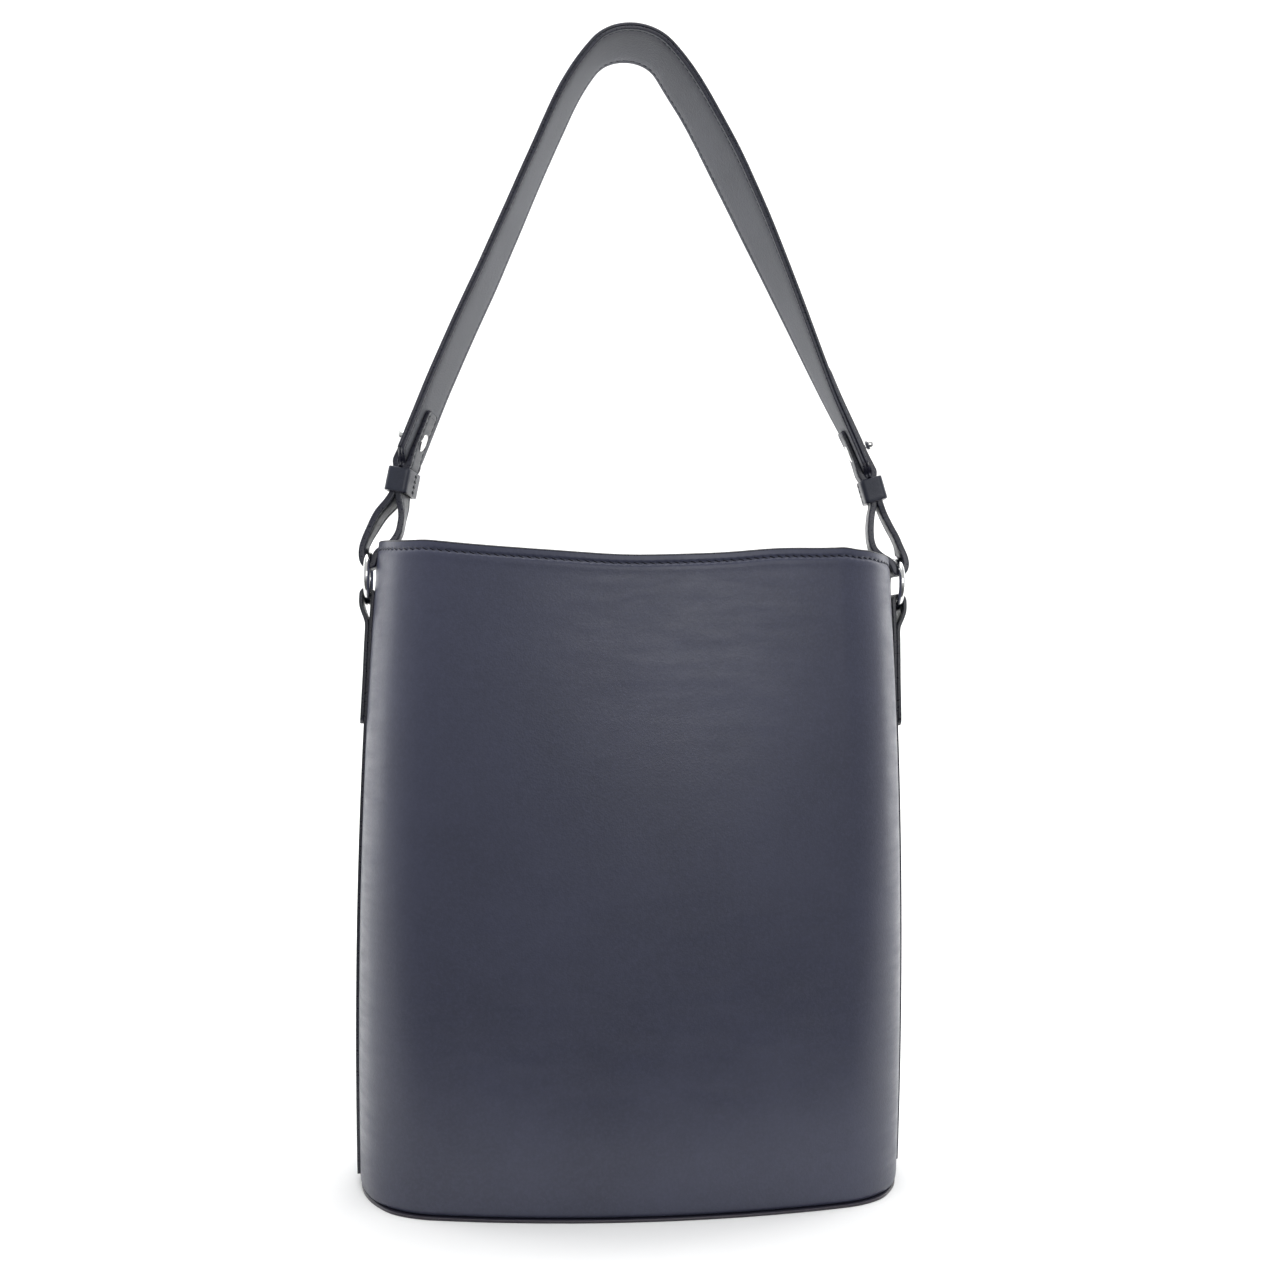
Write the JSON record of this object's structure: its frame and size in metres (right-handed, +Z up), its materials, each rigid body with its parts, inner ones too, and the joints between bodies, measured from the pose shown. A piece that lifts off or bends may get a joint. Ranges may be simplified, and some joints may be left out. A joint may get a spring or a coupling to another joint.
{
  "type": "bucket bag",
  "caption": "Structured open-top leather bucket bag with a scooped rim, side strips, round rings and an arched shoulder strap.",
  "frame": {"origin": "middle of the underside of the base, on the surface the bag stands on", "axes": "+Z up to the strap, +X to the wearer's right as the front is faced (right ring), -Y out of the front panel"},
  "size_m": [0.2798, 0.1342, 0.5643],
  "materials": {
    "panel_leather": "smooth, soft sheen",
    "base_leather": "smooth, painted edge",
    "facing_leather": "smooth, soft sheen",
    "trim_leather": "smooth, painted edge",
    "keeper_leather": "smooth, hand stitched",
    "strap_leather": "smooth, painted edge",
    "strap_inner_leather": "fine matt grain",
    "lining_fabric": "fine suede cloth",
    "fibre_board": "pressed fibre board",
    "ring_metal": "polished",
    "stud_metal": "polished"
  },
  "bodies": {
    "bag": {"front_panel": "panel_leather", "back_panel": "panel_leather", "base_panel": "base_leather", "base_board": "fibre_board", "base_lining": "lining_fabric", "front_facing": "facing_leather", "back_facing": "facing_leather", "front_lining": "lining_fabric", "back_lining": "lining_fabric", "right_side_strip": "trim_leather", "left_side_strip": "trim_leather"},
    "strap": {"strap_outer_layer": "strap_leather", "strap_lining_layer": "strap_inner_leather", "right_chape": "trim_leather", "left_chape": "trim_leather", "right_stud_base": "stud_metal", "left_stud_base": "stud_metal", "right_stud_head": "stud_metal", "left_stud_head": "stud_metal"},
    "right_ring": {"right_ring": "ring_metal"},
    "left_ring": {"left_ring": "ring_metal"},
    "right_keeper": {"right_keeper": "keeper_leather"},
    "left_keeper": {"left_keeper": "keeper_leather"}
  },
  "joints": [
    {"name": "strap_swing", "type": "hinge", "parent": "bag", "child": "strap", "pos_m": [0, 0, 0.29135], "axis": [1, 0, 0], "range_deg": [-35, 35]},
    {"name": "right_ring_turn", "type": "hinge", "parent": "bag", "child": "right_ring", "pos_m": [0.13225, 0, 0.29135], "axis": [1, 0, 0], "continuous": true},
    {"name": "left_ring_turn", "type": "hinge", "parent": "bag", "child": "left_ring", "pos_m": [-0.13225, 0, 0.29135], "axis": [1, 0, 0], "continuous": true},
    {"name": "right_keeper_slide", "type": "slide", "parent": "strap", "child": "right_keeper", "axis": [-0.3827, 0, 0.9239], "range_m": [-0.0028, 0.0026]},
    {"name": "left_keeper_slide", "type": "slide", "parent": "strap", "child": "left_keeper", "axis": [0.3827, 0, 0.9239], "range_m": [-0.0028, 0.0026]}
  ]
}
